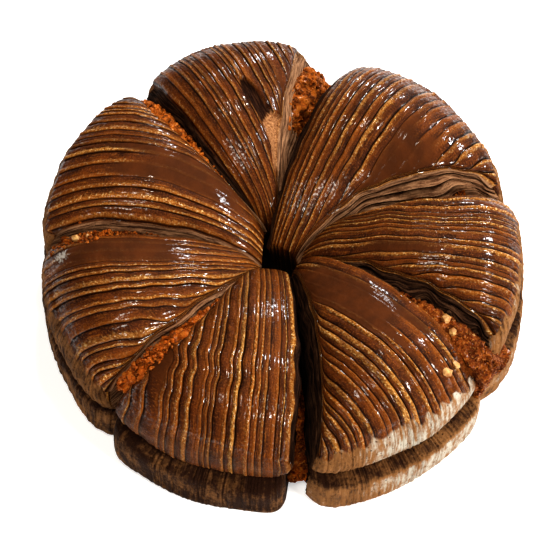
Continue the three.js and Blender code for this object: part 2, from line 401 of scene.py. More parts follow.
def lobe_spots(mesh):
    """Where each point of a block lies on a lobe: its steps along, across and up, and its face."""
    even, aside, upward = block_grid(mesh).T
    spot = SimpleNamespace()
    spot.along = mix(even, 0.5 - 0.5 * np.cos(math.pi * even), 0.5)
    spot.column = np.rint(aside * STEPS_ACROSS).astype(int)
    spot.up_step = np.rint(upward * STEPS_UP).astype(int)
    spot.on_top = spot.up_step == STEPS_UP
    spot.on_wall = (even > 0.999) & ~spot.on_top
    spot.on_tip = (even < 0.001) & ~spot.on_top
    at_side = (spot.column == 0) | (spot.column == STEPS_ACROSS)
    spot.on_side = at_side & ~spot.on_top & ~spot.on_wall & ~spot.on_tip
    return spot


def stripe_widths(shape):
    """Widths of a lobe's stripes against each other."""
    draw = np.random.default_rng(shape.seed)
    return draw.uniform(0.5, 1.5, STRIPES) * np.linspace(*shape.taper, STRIPES)


def stripe_ends(shape, widths, along):
    """Where each stripe ends across the lobe; away from the anchor, stripes run out towards the tip."""
    centres = (np.cumsum(widths) - widths / 2.0) / np.sum(widths)
    aside = np.abs(centres - shape.anchor) / max(shape.anchor, 1.0 - shape.anchor)
    window = lobe_width(shape, along) / lobe_width(shape, np.ones_like(along))
    kept = smoothstep(window[:, None] + RUN_OUT - aside, 0.0, 2.0 * RUN_OUT)
    ends = np.cumsum(widths * mix(SQUEEZED, 1.0, kept), axis=1)
    return ends / ends[:, -1:]


def lay_stripes(shape, spot):
    """Gives each point its stripe, its place in the row of stripes and its share of the lobe's width."""
    per_stripe = len(STRIPE_PLACES)
    spot.stripe = np.minimum(spot.column // per_stripe, STRIPES - 1)
    part = np.array(STRIPE_PLACES)[spot.column % per_stripe]
    part = np.where(spot.column == STEPS_ACROSS, 1.0, part)
    spot.phase = spot.stripe + part
    widths = stripe_widths(shape)
    width = widths[spot.stripe]
    ends = stripe_ends(shape, widths, spot.along)
    rows = np.arange(len(spot.along))
    end = ends[rows, spot.stripe]
    start = np.where(spot.stripe > 0, ends[rows, spot.stripe - 1], 0.0)
    band = 1.0 - (1.0 - BAND_END) / np.maximum(width, 0.9)
    in_line = mix(band, 1.0, (part - BAND_END) / (1.0 - BAND_END))
    inside = np.where(part < BAND_END, part / BAND_END * band, in_line)
    share = mix(start, end, inside)
    sway = 0.008 * ripple(shape.seed + 1, 0.5 * spot.phase, 3.5 * spot.along)
    sway += 0.001 * ripple(shape.seed + 2, 1.5 * spot.phase, 18.0 * spot.along)
    spot.share = np.clip(share + sway * np.sin(math.pi * share), 0.0, 1.0)
    spot.across = 2.0 * spot.share - 1.0
    spot.pitch = (end - start) / np.maximum(width, 1.0)


def plain_zone(shape, phase, along):
    """1 where a lobe's stripes are smoothed over by the glaze, 0 elsewhere."""
    first, last, start, end = shape.plain
    end = end + 0.1 * ripple(shape.seed + 8, 2.7 * phase)
    across = smoothstep(phase, first - 0.25, first + 0.25)
    across = across * (1.0 - smoothstep(phase, last + 0.75, last + 1.25))
    begun = smoothstep(along, start - 0.06, start + 0.06)
    return across * begun * (1.0 - smoothstep(along, end - 0.1, end + 0.05))


def row_height(up_step, skin, slit):
    """Height of a row of points: rows crowd towards the slit."""
    above = np.clip((up_step - STEPS_BELOW_SLIT) / (STEPS_UP - STEPS_BELOW_SLIT), 0.0, 1.0)
    below = np.clip(up_step / STEPS_BELOW_SLIT, 0.0, 1.0)
    upper = slit + (skin - slit) * above**1.25
    lower = slit * (1.0 - (1.0 - below) ** 1.25)
    return np.where(up_step >= STEPS_BELOW_SLIT, upper, lower)


def lift_lobe(shape, spot, plan):
    """Gives each point its height, and the heights of the skin, the shoulder and the slit there."""
    wave = SKIN_WAVE * ripple(shape.seed + 3, plan[:, 0] / SKIN_WAVE_LENGTH, plan[:, 1] / SKIN_WAVE_LENGTH)
    wave = wave * smoothstep(spot.along, 0.1, 0.4)
    spot.skin = skin_height(shape, spot.along, spot.across) + wave
    spot.shoulder = skin_height(shape, np.ones_like(spot.along), spot.across)
    spot.slit = SLIT_HEIGHT + SLIT_WAVER * ripple(shape.seed + 5, 7.0 * spot.share)
    height = row_height(spot.up_step, spot.skin, spot.slit)
    spot.ragged = mix(*shape.strands, spot.share)
    sag = spot.ragged * ripple(shape.seed + 6, 18.0 * spot.along, 0.15 * spot.up_step)
    sag = sag * smoothstep(spot.skin - height, 1.0, 9.0)
    spot.height = height + np.where(spot.on_side, sag * smoothstep(height, 0.0, 8.0), 0.0)


def wall_reach(shape, spot):
    """How far the outer wall stands out past the rim line."""
    rounded = np.clip((spot.shoulder - spot.height) / SHOULDER_DEPTH, 0.0, 1.0)
    below_shoulder = SHOULDER_ROUND * (1.0 - (1.0 - rounded) ** 2)
    below_slit = smoothstep(spot.slit - spot.height, -0.6, 1.6)
    corner = mix(UPPER_CORNER, LOWER_CORNER, below_slit) * spot.across**14
    at_floor = FLOOR_ROUND * smoothstep(5.0 - spot.height, 0.0, 6.0)
    above = spot.height - spot.slit
    groove = SLIT_DEPTH * np.exp(-((above / SLIT_HALF_WIDTH) ** 2))
    groove = groove + LIP_DEPTH * np.exp(-((above / LIP_HALF_WIDTH) ** 2))
    return below_shoulder + shape.foot * below_slit - corner - at_floor - groove


def side_shifts(shape, spot):
    """How far a lobe's sides move sideways: flared, rolled, ragged, and tucked in below the slit."""
    to_side = np.sign(spot.across)
    edge = np.abs(spot.across)
    depth = spot.skin - spot.height
    flank = smoothstep(depth, -4.0, 22.0) * smoothstep(spot.along, 0.0, 0.25)
    flare = to_side * mix(*shape.flare, spot.share) * spot.across**6 * flank
    roll = to_side * EDGE_ROLL * edge**8 * np.sin(math.pi * np.clip(depth / EDGE_ROLL_DEPTH, 0, 1))
    rag = to_side * EDGE_RAG * spot.ragged * spot.across**6
    rag = rag * ripple(shape.seed + 7, 24.0 * spot.along, 0.1 * spot.up_step)
    rag = rag * smoothstep(spot.along, 0.1, 0.3)
    under = smoothstep(spot.slit - spot.height, -1.0, 2.0) * smoothstep(spot.along, 0.7, 1.0) * edge**5
    tuck = to_side * mix(*shape.tuck, spot.share) * under
    return flare, roll, rag, -tuck


def lobe_places(shape, spot):
    """Warps the points of a block into a lobe, in metres."""
    plan, out, sideways = lobe_plan(shape, spot.along, spot.share)
    lift_lobe(shape, spot, plan)
    for shift in side_shifts(shape, spot):
        plan = plan + sideways * shift[:, None]
    lean = TIP_LEAN * (1.0 - spot.along) ** 8 * (1.0 - spot.height / spot.skin)
    plan = plan - out * lean[:, None]
    near_wall = smoothstep(spot.along, 0.86, 1.0)
    reach = wall_reach(shape, spot) * near_wall
    reach += WALL_WAVE * ripple(shape.seed + 4, 9.0 * spot.share, spot.height / 6.0) * near_wall
    reach = np.where(spot.on_top & (spot.along < 0.999), 0.0, reach)
    plan = plan + out * reach[:, None]
    return np.column_stack((plan, spot.height)) * MM


def skin_relief(shape, spot):
    """Height of the skin's ridges over the lobe, in millimetres, and how strong each ridge's line is."""
    draw = np.random.default_rng(shape.seed + 11)
    lines = np.clip(shape.line * draw.uniform(0.2, 1.35, STRIPES), 0.0, 1.0)
    strength = 0.45 + 0.6 * lines
    grown = smoothstep(spot.along, 0.0, 0.3)
    place = spot.column % len(STRIPE_PLACES)
    relief = np.array(STRIPE_RELIEF)[place] * strength[spot.stripe] * mix(0.3, 1.0, grown)
    relief = relief * (1.0 + 0.5 * smoothstep(spot.along, 0.55, 0.9))
    fade = 0.7 + 0.45 * ripple(shape.seed + 12, 2.1 * spot.stripe, 8.0 * spot.along)
    relief = relief * np.clip(fade, 0.2, 1.3)
    grains = draw.normal(size=len(place)) * GRAIN_RELIEF
    relief = relief + np.where(np.isin(place, LINE_COLUMNS), grains * grown, 0.0)
    relief = relief + ROUGH_RELIEF * ripple(shape.seed + 13, 0.9 * spot.column, 45.0 * spot.along)
    relief = relief + ROUGH_RELIEF * draw.normal(size=len(place)) * grown
    line = lines[spot.stripe] * np.clip(fade, 0.0, 1.1)
    return relief * (1.0 - 0.85 * spot.plain), line * (1.0 - 0.95 * spot.plain)


def side_relief(shape, spot):
    """Height of the baked layers on a lobe's side, in millimetres."""
    down = STEPS_UP - spot.up_step
    layer = down // len(LAYER_RELIEF)
    side = np.where(spot.column == 0, 0.0, 1.0)
    relief = np.array(LAYER_RELIEF)[down % len(LAYER_RELIEF)] * mix(*shape.strands, side)
    strength = 0.8 + 0.6 * ripple(shape.seed + 21, 2.3 * layer, 6.0 * spot.along, 3.0 * side)
    lump = LAYER_LUMP * ripple(shape.seed + 22, 0.5 * layer, 14.0 * spot.along, 3.0 * side)
    return relief * np.clip(strength, 0.1, 1.6) + lump


def tear(shape, along, share):
    """Where a strip of a lobe's skin is torn off, and which part of that shows pale dough; the rest gets
    painted shadow.
    """
    strip_end = 0.505 + 0.205 * smoothstep(share, 0.04, 0.41)
    strip_side = mix(0.1, 0.42, smoothstep(along, 0.26, 0.68))
    torn = smoothstep(strip_end - along, 0.0, 0.01) * smoothstep(strip_side - share, 0.0, 0.015)
    torn = torn * smoothstep(along, 0.2, 0.28) * shape.torn
    pale = smoothstep(0.08 + 1.5 * (0.54 - along) - share, 0.0, 0.02)
    return torn, torn * pale


def lobe_relief(shape, spot):
    """Height of all relief on a lobe, in millimetres; it also notes the strength of the golden lines."""
    relief, spot.line = skin_relief(shape, spot)
    relief = relief * np.clip(spot.pitch * lobe_width(shape, spot.along) / FULL_WIDTH, 0.12, 1.0)
    relief = mix(relief, -TEAR_DEPTH, spot.torn)
    amount = np.where(spot.on_side, side_relief(shape, spot), relief)
    ridges = WALL_RIDGE * ripple(shape.seed + 62, 1.4 * spot.column, spot.height / 9.0)
    amount = np.where(spot.on_wall, 0.5 * relief + ridges, amount)
    return amount * smoothstep(spot.height, 0.0, 2.0)


def write_looks(mesh, shape, spot):
    """Writes what the dough's material reads at each point."""
    below = spot.slit - spot.height
    depth = spot.skin - spot.height
    rag = 2.2 * ripple(shape.seed + 61, 40.0 * spot.share, spot.height / 5.0)
    bared = smoothstep(depth + rag, 1.0, 4.0) * mix(*shape.bare, smoothstep(below, -1.0, 1.0))
    # The wall's paleness is partly its own baked tone. Its near-white on the front-right lobe, spread in
    # from the lobe's left end, is a painted reflection of the light from the right front, held back on the
    # ledge by the slit.
    ledge = smoothstep(below, -1.0, 0.5) * (1.0 - smoothstep(below, 2.0, 5.0))
    sheen_spread = 1.0 if shape.pale < 0.9 else mix(0.5, 1.0, smoothstep(spot.share, 0.15, 0.45))
    # Painted shade: near-black colour deep down in the gaps on the lobes' sides and down the tips' faces
    # into the pit.
    shade_on_side = spot.on_side * smoothstep(depth, 4.0, 22.0)
    shade_on_tip = spot.on_tip * smoothstep(depth, -2.0, 10.0)
    dusted = np.exp(-(((spot.share - 0.17) / 0.1) ** 2) - ((spot.along - 0.92) / 0.07) ** 2)
    put_attribute(mesh, "side", spot.on_side)
    put_attribute(mesh, "bare", spot.on_wall * bared)
    put_attribute(mesh, "line", spot.line)
    put_attribute(mesh, "plain", spot.plain)
    put_attribute(mesh, "pale", shape.pale * sheen_spread * (1.0 - 0.8 * ledge))
    # How light a side is: partly the layers' own tone, partly painted light and shade, light on sides that
    # face the light and dark on sides that face away.
    put_attribute(mesh, "tan", mix(*shape.sides, smoothstep(spot.share, 0.4, 0.6)))
    put_attribute(mesh, "deep", shade_on_side + shade_on_tip)
    put_attribute(mesh, "dust", dusted * shape.dust)
    put_attribute(mesh, "torn_pale", spot.torn_pale * (1.0 - spot.on_side))
    # The part of the torn strip that is not pale dough is a painted shadow under the lifted flap.
    put_attribute(mesh, "torn_dark", (spot.torn - spot.torn_pale) * (1.0 - spot.on_side))


def write_stripes(mesh, shape, spot):
    """Writes the stripe map: stripe number across, and centimetres along."""
    corners = whole_numbers(mesh.loops, "vertex_index")
    totals = whole_numbers(mesh.polygons, "loop_total")
    group = np.repeat(whole_numbers(mesh.attributes["group"].data, "value"), totals)
    height = spot.height[corners]
    depth = np.clip(spot.shoulder[corners] - height, 0.0, 60.0) / 10.0
    layer = (STEPS_UP - spot.up_step[corners]) / len(LAYER_RELIEF)
    across = spot.phase[corners]
    across = np.where(group == FIRST_SIDE, -layer, across)
    across = np.where(group == LAST_SIDE, STRIPES + layer, across)
    distance = spot.along[corners] * SKIN_LENGTH
    distance = np.where(group == WALL, SKIN_LENGTH + depth, distance)
    distance = np.where(group == TIP, -height / 10.0, distance)
    stripes = np.column_stack((across + STRIPE_OFFSET * (shape.number + 1), distance))
    stripe_map = mesh.uv_layers.new(name="stripes")
    stripe_map.data.foreach_set("uv", np.ascontiguousarray(stripes, dtype=np.float32).ravel())


def write_groups(mesh):
    """Writes which side of the block each face is on."""
    x, y, z = face_normals(mesh).T
    group = np.full(len(mesh.polygons), TOP, dtype=np.int32)
    group[x > 0.5] = WALL
    group[y < -0.5] = FIRST_SIDE
    group[y > 0.5] = LAST_SIDE
    group[x < -0.5] = TIP
    group[z < -0.5] = BOTTOM
    layer = mesh.attributes.new("group", "INT", "FACE")
    layer.data.foreach_set("value", group)


def shape_lobe(mesh, shape):
    """Warps a block into a lobe, raises its relief and writes what its material reads."""
    spot = lobe_spots(mesh)
    lay_stripes(shape, spot)
    spot.plain = plain_zone(shape, spot.phase, spot.along) * (spot.on_top | spot.on_wall)
    spot.torn, spot.torn_pale = tear(shape, spot.along, spot.share)
    places = lobe_places(shape, spot)
    put_places(mesh, places)
    relief = lobe_relief(shape, spot)
    normals = vectors(mesh.vertex_normals, "vector")
    put_places(mesh, places + normals * (relief * MM)[:, None])
    write_looks(mesh, shape, spot)
    write_stripes(mesh, shape, spot)


def make_lobes(material):
    """The seven lobes, each warped from a copy of one block."""
    start = block("lobe_block", ((STEPS_ALONG,), (STEPS_ACROSS // 2, 2), (STEPS_UP,)))
    write_groups(start.data)
    for shape in LOBES:
        piece = copy_of(start, "lobe_" + shape.name)
        shape_lobe(piece.data, shape)
        finish_piece(piece, material, "dough")
    bpy.data.objects.remove(start)


def make_hub(material):
    """The low dough hub at the foot of the pit, with a sunken, lumpy top."""
    bpy.ops.object.select_all(action="DESELECT")
    bpy.ops.mesh.primitive_cylinder_add(
        vertices=64, radius=HUB_RADIUS * MM, depth=HUB_HEIGHT * MM, location=(0, 0, HUB_HEIGHT * MM / 2),
    )
    piece = bpy.context.object
    piece.name = "pit_floor"
    bpy.ops.object.transform_apply(location=True, rotation=True, scale=True)
    select_faces(piece.data, face_normals(piece.data)[:, 2] > 0.5)
    bpy.ops.object.mode_set(mode="EDIT")
    for inset, rise in HUB_STEPS:
        bpy.ops.mesh.inset(thickness=inset * MM)
        bpy.ops.transform.translate(value=(0, 0, rise * MM))
    bpy.ops.mesh.poke()
    bpy.ops.object.mode_set(mode="OBJECT")
    places = places_of(piece.data)
    waves = (places[:, 0] / (HUB_LUMP_LENGTH * MM), places[:, 1] / (HUB_LUMP_LENGTH * MM))
    lumps = HUB_LUMP * ripple(SEED + 31, *waves) * MM
    places[:, 2] += np.where(places[:, 2] > HUB_HEIGHT / 2.0 * MM, lumps, 0.0)
    put_places(piece.data, places)
    finish_piece(piece, material, "dough")


def gap_plan(shape, along, across):
    """Plan position in the gap between a lobe and the next one."""
    one = np.ones_like(along)
    first, out_first, _ = lobe_plan(shape, along, one)
    second, out_second, _ = lobe_plan(shape.after, along, 0.0 * one)
    out = out_first + out_second
    out /= np.linalg.norm(out, axis=1)[:, None]
    sideways = np.stack((-out[:, 1], out[:, 0]), axis=1)
    hidden = CRUMB_SIDE_REACH * (1.0 - 0.7 * along**6)
    half = np.linalg.norm(second - first, axis=1) / 2.0 + hidden
    further = (shape.crumb[1] - RIM_RADIUS + SHOULDER_ROUND) * along**4
    middle = (first + second) / 2.0
    return middle + sideways * (half * across)[:, None] + out * further[:, None]


def drawn_back(plan, distance):
    """Plan positions moved towards the middle of the brioche."""
    outward = plan / np.linalg.norm(plan, axis=1)[:, None]
    return plan - outward * distance[:, None]


def crumb_height(shape, along, across):
    """Height of the filling in a gap, which leans against one of the two lobes."""
    top = shape.crumb[0] - INNER_DROP * (1.0 - along) ** 2.2 - OUTER_DROP * along**8
    tilt = shape.crumb[3]
    lean = abs(tilt) * smoothstep(np.sign(tilt) * across, -0.4, 0.6)
    return np.maximum(top - lean, CRUMB_FOOT + LEAST_CRUMB)


def displace(piece, name, kind, size, push):
    """Pushes a piece's surface in and out by a solid texture, in millimetres, and applies it."""
    only(piece)
    texture = bpy.data.textures.new(name, kind)
    texture.noise_scale = size * MM
    modifier = piece.modifiers.new("crumb", "DISPLACE")
    modifier.texture = texture
    modifier.texture_coords = "LOCAL"
    modifier.strength = push * MM
    modifier.mid_level = 0.5
    bpy.ops.object.modifier_apply(modifier=modifier.name)


def shape_crumb(mesh, shape):
    """Warps a block into the filling of the gap after a lobe."""
    lengthwise, aside, upward = block_grid(mesh).T
    along = mix(CRUMB_START, 1.0, lengthwise)
    across = 2.0 * aside - 1.0
    plan = gap_plan(shape, along, across)
    plan = drawn_back(plan, shape.crumb[2] * (1.0 - upward) * along**4)
    top = crumb_height(shape, along, across)
    top += ripple(shape.seed + 41, plan[:, 0] / 4.0, plan[:, 1] / 4.0)
    height = mix(CRUMB_FOOT, top, upward)
    put_places(mesh, np.column_stack((plan, height)) * MM)


def make_filling(material):
    """The crumb filling in the seven gaps, joined into one piece."""
    start = block("filling_block", CRUMB_STEPS)
    pieces = []
    for shape in LOBES:
        piece = copy_of(start, "filling_" + shape.name)
        shape_crumb(piece.data, shape)
        pieces.append(piece)
    bpy.data.objects.remove(start)
    only(pieces[0])
    for piece in pieces:
        piece.select_set(True)
    bpy.ops.object.join()
    filling = bpy.context.object
    filling.name = "filling_crumb"
    displace(filling, "crumb_lumps", "VORONOI", LUMP_SIZE, LUMP_PUSH)
    displace(filling, "crumb_grains", "CLOUDS", GRAIN_SIZE, GRAIN_PUSH)
    finish_piece(filling, material, "filling")


def scatter(draw, spots, sizes, name):
    """Copies a small grain to each spot, turned and sized at random, as one mesh."""
    bpy.ops.object.select_all(action="DESELECT")
    bpy.ops.mesh.primitive_ico_sphere_add(subdivisions=1, radius=1.0)
    grain = bpy.context.object
    source = places_of(grain.data)
    faces = [tuple(face.vertices) for face in grain.data.polygons]
    bpy.data.objects.remove(grain)
    points = []
    joined = []
    for spot, size in zip(spots, sizes):
        angle = draw.uniform(0, NEARLY_A_TURN)
        turn = np.array(Matrix.Rotation(angle, 3, Vector(draw.normal(size=3)).normalized()))
        stretch = draw.uniform(0.5, 1.3, 3)
        jitter = draw.uniform(0.8, 1.2, (len(source), 1))
        first = len(points)
        points.extend((source * jitter * stretch * size) @ turn.T + spot)
        joined.extend(tuple(index + first for index in face) for face in faces)
    mesh = bpy.data.meshes.new(name)
    mesh.from_pydata([tuple(point) for point in points], [], joined)
    mesh.update()
    piece = bpy.data.objects.new(name, mesh)
    bpy.context.collection.objects.link(piece)
    return piece


def surface_spot(x, y):
    """The topmost point of the brioche over a place in plan, in metres."""
    above = Vector((x * MM, y * MM, 0.2))
    view = bpy.context.evaluated_depsgraph_get()
    hit, point, *_ = bpy.context.scene.ray_cast(view, above, Vector((0.0, 0.0, -1.0)))
    return np.array((x * MM, y * MM, point.z if hit else 0.0))


def top_grains(draw, shape):
    """Places and sizes of the grains that lie on the filling after a lobe."""
    along = draw.uniform(0.25, 1.0, TOP_GRAINS)
    across = draw.uniform(-0.95, 0.95, TOP_GRAINS)
    plan = gap_plan(shape, along, across)
    height = crumb_height(shape, along, across) + draw.uniform(-0.6, 1.2, TOP_GRAINS)
    return np.column_stack((plan, height)) * MM, draw.uniform(0.4, 1.0, TOP_GRAINS) * MM


def end_grains(draw, shape):
    """Places and sizes of the grains on the outer end of the filling after a lobe."""
    up = draw.uniform(0.35, 1.0, END_GRAINS)
    along = np.ones(END_GRAINS)
    across = draw.uniform(-0.95, 0.95, END_GRAINS)
    plan = drawn_back(gap_plan(shape, along, across), shape.crumb[2] * (1.0 - up))
    height = mix(CRUMB_FOOT, crumb_height(shape, along, across), up)
    return np.column_stack((plan, height)) * MM, draw.uniform(0.5, 1.3, END_GRAINS) * MM


def make_grains(material):
    """Loose grains on the filling, and some that are spilled on the lobes."""
    draw = np.random.default_rng(SEED + 51)
    spots = []
    sizes = []
    for shape in LOBES:
        for lay in (top_grains, end_grains):
            laid, laid_sizes = lay(draw, shape)
            spots.extend(laid)
            sizes.extend(laid_sizes)
    bpy.context.view_layer.update()
    for place, spread, count in SPILLS:
        for x, y in np.array(place) + draw.normal(size=(count, 2)) * spread:
            spot = surface_spot(x, y)
            if spot[2] > LOWEST_SPILL * MM:
                spots.append(spot)
                sizes.append(draw.uniform(0.3, 1.0) * MM)
    grains = scatter(draw, spots, sizes, "filling_grains")
    finish_piece(grains, material, "filling")


def make_nuts(material):
    """Pale chopped nut bits, half sunk in the filling and in a lobe's edge."""
    draw = np.random.default_rng(SEED + 71)
    bpy.context.view_layer.update()
    spots = [surface_spot(*place) for place, _ in NUT_SPOTS]
    sizes = [size * MM for _, size in NUT_SPOTS]
    nuts = scatter(draw, spots, sizes, "nut_bits")
    finish_piece(nuts, material, "filling", NUT_ANGLE)


class Value:
    """A socket of a material, so that its maths is written as plain expressions."""

    def __init__(self, recipe, socket):
        self.recipe = recipe
        self.socket = socket

    def math(self, operation, *values):
        return self.recipe.node("ShaderNodeMath", {"operation": operation}, *values)

    def __add__(self, other):
        return self.math("ADD", self, other)

    def __sub__(self, other):
        return self.math("SUBTRACT", self, other)

    def __rsub__(self, other):
        return self.math("SUBTRACT", other, self)

    def __mul__(self, other):
        return self.math("MULTIPLY", self, other)

    __radd__ = __add__
    __rmul__ = __mul__

    def fraction(self):
        return self.math("FRACT", self)

    def whole(self):
        return self.math("FLOOR", self)

    def clamped(self):
        return self.recipe.node("ShaderNodeClamp", {}, self, 0.0, 1.0)

    def smooth(self, start, end):
        """0 at start, 1 at end, smooth between; start may be the larger one."""
        settings = {"interpolation_type": "SMOOTHSTEP"}
        return self.recipe.node("ShaderNodeMapRange", settings, self, start, end, 0.0, 1.0)


class Recipe:
    """One procedural material."""

    def __init__(self, name):
        self.material = bpy.data.materials.new(name)
        self.material.use_nodes = True
        self.tree = self.material.node_tree
        self.shader = self.tree.nodes["Principled BSDF"]

    def node(self, kind, settings, *values, output=0, **named):
        """Adds a node: its settings first, then its sockets by order or by name."""
        made = self.tree.nodes.new(kind)
        for key, value in settings.items():
            setattr(made, key, value)
        for index, value in enumerate(values):
            self.feed(made.inputs[index], value)
        for key, value in named.items():
            self.feed(made.inputs[key.replace("_", " ")], value)
        return Value(self, made.outputs[output])

    def feed(self, socket, value):
        """Links or sets one socket."""
        if isinstance(value, Value):
            self.tree.links.new(value.socket, socket)
            return
        if hasattr(socket.default_value, "__len__") and len(value) < len(socket.default_value):
            value = (*value, 1.0)
        socket.default_value = value

    def blend(self, share, first, second):
        """Blends two colours."""
        made = self.tree.nodes.new("ShaderNodeMix")
        made.data_type = "RGBA"
        self.feed(made.inputs[0], share)
        self.feed(made.inputs[6], first)
        self.feed(made.inputs[7], second)
        return Value(self, made.outputs[2])

    def attribute(self, name):
        return self.node("ShaderNodeAttribute", {"attribute_name": name}, output=2)

    def noise(self, place, scale, detail=2.0, roughness=0.55):
        return self.node(
            "ShaderNodeTexNoise", {"normalize": True}, Vector=place, Scale=scale, Detail=detail,
            Roughness=roughness,
        )

    def cells(self, place, scale):
        return self.node("ShaderNodeTexVoronoi", {"feature": "F1"}, Vector=place, Scale=scale)

    def point(self, x, y, z=0.0):
        return self.node("ShaderNodeCombineXYZ", {}, x, y, z)

    def split(self, place):
        return tuple(self.node("ShaderNodeSeparateXYZ", {}, place, output=index) for index in range(3))

    def random(self, number):
        return self.node("ShaderNodeTexWhiteNoise", {"noise_dimensions": "1D"}, W=number)

    def object_place(self):
        return self.node("ShaderNodeTexCoord", {}, output=3)

    def bump(self, height, distance, strength):
        return self.node("ShaderNodeBump", {}, Strength=strength, Distance=distance, Height=height)

    def finish(self, **sockets):
        """Feeds the shader's own sockets."""
        for key, value in sockets.items():
            self.feed(self.shader.inputs[key.replace("_", " ")], value)
        return self.material


def srgb(red, green, blue):
    """A colour from screen values, 0 to 255, to linear light."""
    return tuple(
        part / 12.92 if part <= 0.04045 else ((part + 0.055) / 1.055) ** 2.4
        for part in (red / 255.0, green / 255.0, blue / 255.0)
    )


def skin_colour(recipe, across, distance, line, plain):
    """Colour of the glazed skin: brown bands, golden baked lines with painted glints, painted shade in
    grooves.
    """
    patch = recipe.noise(recipe.point(across * 0.5, distance), 1.1, 3.0)
    grain = recipe.noise(recipe.point(across * 2.2, distance * 4.5), 2.4, 4.0, 0.7)
    wander = recipe.noise(recipe.point(across * 0.7, distance * 1.3, 9.0), 1.7, 2.0)
    fibre = recipe.noise(recipe.point(across * 4.5, distance * 0.9), 1.4, 4.0, 0.65)
    speck = recipe.noise(recipe.point(across * 3.5, distance * 6.0, 5.0), 2.6, 3.0, 0.7)
    stripe = across.whole()
    part = across.fraction()
    luck = recipe.random(stripe)
    striped = 1.0 - plain
    inner = part * (1.0 - part) * 4.0
    place = part + ((grain - 0.5) * 0.3 + (wander - 0.5) * 0.1) * inner
    band = recipe.blend(patch.smooth(0.35, 0.7), srgb(44, 19, 7), srgb(84, 40, 13))
    band = recipe.blend(place.smooth(0.05, 0.8) * (luck * 0.6 + 0.1) * striped, band, srgb(130, 67, 17))
    band = recipe.blend(fibre.smooth(0.52, 0.72) * striped * 0.5, band, srgb(156, 90, 30))
    band = recipe.blend(fibre.smooth(0.47, 0.3) * striped * 0.6, band, srgb(28, 12, 5))
    band = recipe.blend(plain * 0.6, band, srgb(78, 41, 16))
    band = recipe.blend(speck.smooth(0.53, 0.68) * striped * 0.5, band, srgb(148, 88, 40))
    band = recipe.blend(speck.smooth(0.48, 0.32) * (0.12 + striped * 0.5), band, srgb(26, 11, 4))
    gold = recipe.blend(luck, srgb(186, 126, 56), srgb(166, 97, 32))
    # Painted highlight: near-white specks on the golden lines' raised grain.
    gold = recipe.blend(grain.smooth(0.54, 0.64), gold, srgb(240, 204, 142))
    gold = recipe.blend(grain.smooth(0.5, 0.38) * 0.85, gold, srgb(92, 43, 9))
    beads = recipe.noise(recipe.point(across * 0.8, distance * 3.2, 2.0), 1.5, 3.0, 0.6)
    start = 0.38 + 0.3 * recipe.random(stripe + 0.5) + (beads - 0.5) * 0.6
    mask = (place - start).smooth(-0.04, 0.16) * (1.0 - place.smooth(0.86, 0.97))
    fade = recipe.noise(recipe.point(across * 0.9, distance * 1.4, 4.0), 1.6, 3.0).smooth(0.3, 0.6)
    mask = (mask * line * (fade * 0.85 + 0.3)).clamped()
    colour = recipe.blend(mask * 0.92, band, gold)
    # Painted shade: near-black in the grooves between the stripes.
    groove = place.smooth(0.9, 0.99) + (1.0 - place.smooth(0.01, 0.11))
    colour = recipe.blend(groove.clamped() * striped * 0.9, colour, srgb(15, 6, 2))
    return colour, mask, grain, fibre


def side_colour(recipe, across, distance, tan):
    """Colour of the cut layers on a lobe's sides, partly their own tone and partly painted light and shade.
    """
    fibre = recipe.noise(recipe.point(across * 2.5, distance * 0.6), 2.0, 4.0, 0.65)
    luck = recipe.random(across.whole())
    # The dark and light sets are shaded and lit copies of the same layers; the side's value picks between
    # them.
    dark = recipe.blend(fibre.smooth(0.35, 0.65), srgb(16, 8, 4), srgb(46, 24, 13))
    light = recipe.blend(fibre.smooth(0.35, 0.65), srgb(94, 59, 38), srgb(166, 123, 89))
    share = (tan + (luck - 0.5) * 0.6 * tan + (fibre - 0.5) * 0.7).clamped()
    colour = recipe.blend(share, dark, light)
    # Painted shade: dark lines in the creases between the layers.
    part = across.fraction()
    inner = part * (1.0 - part) * 4.0 + (fibre - 0.5) * 0.7
    crease = (1.0 - inner.smooth(0.15, 0.7)) * (0.6 + luck * 0.4)
    colour = recipe.blend(crease * 0.85, colour, srgb(24, 11, 6))
    colour = recipe.blend(fibre.smooth(0.42, 0.32) * 0.7, colour, srgb(30, 15, 9))
    return colour, fibre


def wall_colour(recipe, across, distance, pale, place):
    """Colour of the outer wall: baked brown to tan, then a near-white painted reflection; streaks and
    pores.
    """
    streak = recipe.noise(recipe.point(across * 1.5, distance * 0.45), 1.8, 4.0, 0.65)
    grain = recipe.noise(place, 700.0, 3.0, 0.7)
    blotch = recipe.noise(place, 110.0, 2.0)
    share = pale * 0.95 + (streak - 0.5) * (0.9 + pale * 1.5)
    share = share + (grain - 0.5) * 0.7 + (blotch - 0.5) * 0.9
    colour = recipe.blend(share.smooth(-0.05, 0.6), srgb(44, 25, 15), srgb(138, 95, 56))
    colour = recipe.blend(share.smooth(0.6, 1.25), colour, srgb(186, 176, 160))
    pores = recipe.cells(place, 560.0)
    pitted = (1.0 - pores.smooth(0.1, 0.28)) * blotch.smooth(0.42, 0.58)
    return recipe.blend(pitted * 0.8, colour, srgb(44, 24, 14)), pores


